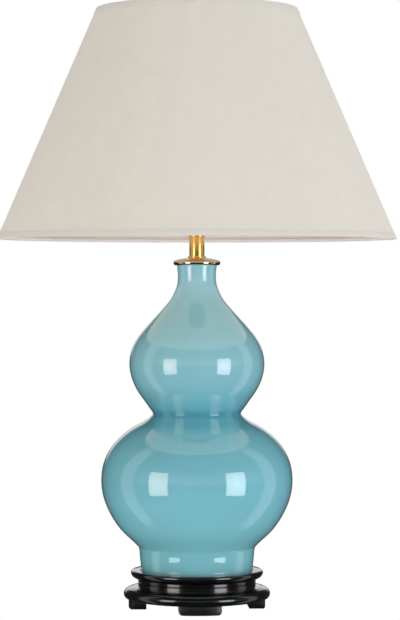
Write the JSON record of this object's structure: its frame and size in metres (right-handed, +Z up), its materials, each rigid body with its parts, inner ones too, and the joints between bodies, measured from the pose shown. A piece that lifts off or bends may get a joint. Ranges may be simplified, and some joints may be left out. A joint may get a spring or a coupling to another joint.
{
  "type": "table lamp",
  "caption": "Double gourd porcelain table lamp on a black footed wooden stand, with a brass push-bar lampholder, a wire carrier and a tapered fabric shade.",
  "frame": {"origin": "on the floor under the middle of the stand, at the undersides of the foot felts", "axes": "+Z up the lamp's axis, +Y to the back, where the flex enters the stand, +X to the right seen from the front"},
  "size_m": [0.5114, 0.5114, 0.765],
  "materials": {
    "lacquered_wood": "black gloss lacquer over turned hardwood",
    "black_felt": "dense pressed felt",
    "black_rubber": "moulded, satin",
    "glazed_porcelain": "pale blue celadon glaze, high gloss",
    "plated_steel": "zinc plated",
    "polished_brass": "polished and lacquered",
    "moulded_phenolic": "moulded, glossy",
    "insulating_ceramic": "unglazed, white",
    "nickel_shell": "nickel plated",
    "opal_glass": "opal white",
    "shade_cloth": "fine off-white cotton weave",
    "shade_backing": "white styrene, matte",
    "white_coated_wire": "white powder coat"
  },
  "bodies": {
    "root": {"stand_apron": "lacquered_wood", "stand_waist": "lacquered_wood", "stand_board": "lacquered_wood", "stand_foot_front": "lacquered_wood", "stand_foot_right": "lacquered_wood", "stand_foot_back": "lacquered_wood", "stand_foot_left": "lacquered_wood", "foot_felts": "black_felt", "vase_seat_felt": "black_felt", "cord_bush": "black_rubber", "neck_plug": "black_rubber", "vase": "glazed_porcelain", "threaded_rod": "plated_steel", "rod_washer": "plated_steel", "rod_nut": "plated_steel", "vase_cap": "polished_brass", "neck_tube": "polished_brass", "tube_flange": "polished_brass", "tube_collar": "polished_brass", "lampholder_cap": "polished_brass", "threaded_sleeve": "polished_brass", "lower_shade_ring": "polished_brass", "upper_shade_ring": "polished_brass", "carrier_plate": "polished_brass", "carrier_wires": "polished_brass", "carrier_gallery": "polished_brass", "switch_contacts": "polished_brass", "terminal_screws": "polished_brass", "screw_shell": "polished_brass", "centre_contact": "polished_brass", "switch_block": "moulded_phenolic", "socket_insulator": "insulating_ceramic"},
    "push_bar": {"push_bar": "polished_brass", "switch_bridge": "polished_brass", "push_button_left": "moulded_phenolic", "push_button_right": "moulded_phenolic"},
    "bulb": {"bulb_cap_insulator": "insulating_ceramic", "bulb_cap": "nickel_shell", "bulb_tip": "nickel_shell", "bulb_glass": "opal_glass", "bulb_stem": "opal_glass"},
    "shade": {"shade_cover": "shade_cloth", "shade_top_trim": "shade_cloth", "shade_bottom_trim": "shade_cloth", "shade_liner": "shade_backing", "shade_bottom_wire": "white_coated_wire", "shade_top_wire": "white_coated_wire", "shade_spokes": "white_coated_wire", "shade_fitter_ring": "white_coated_wire"}
  },
  "joints": [
    {"name": "push_bar_slide", "type": "slide", "parent": "root", "child": "push_bar", "axis": [1, 0, 0], "range_m": [0, 0.007]},
    {"name": "bulb_turn", "type": "hinge", "parent": "root", "child": "bulb", "pos_m": [0, 0, 0.53], "axis": [0, 0, 1], "continuous": true},
    {"name": "shade_turn", "type": "hinge", "parent": "root", "child": "shade", "pos_m": [0, 0, 0.748], "axis": [0, 0, 1], "continuous": true}
  ]
}
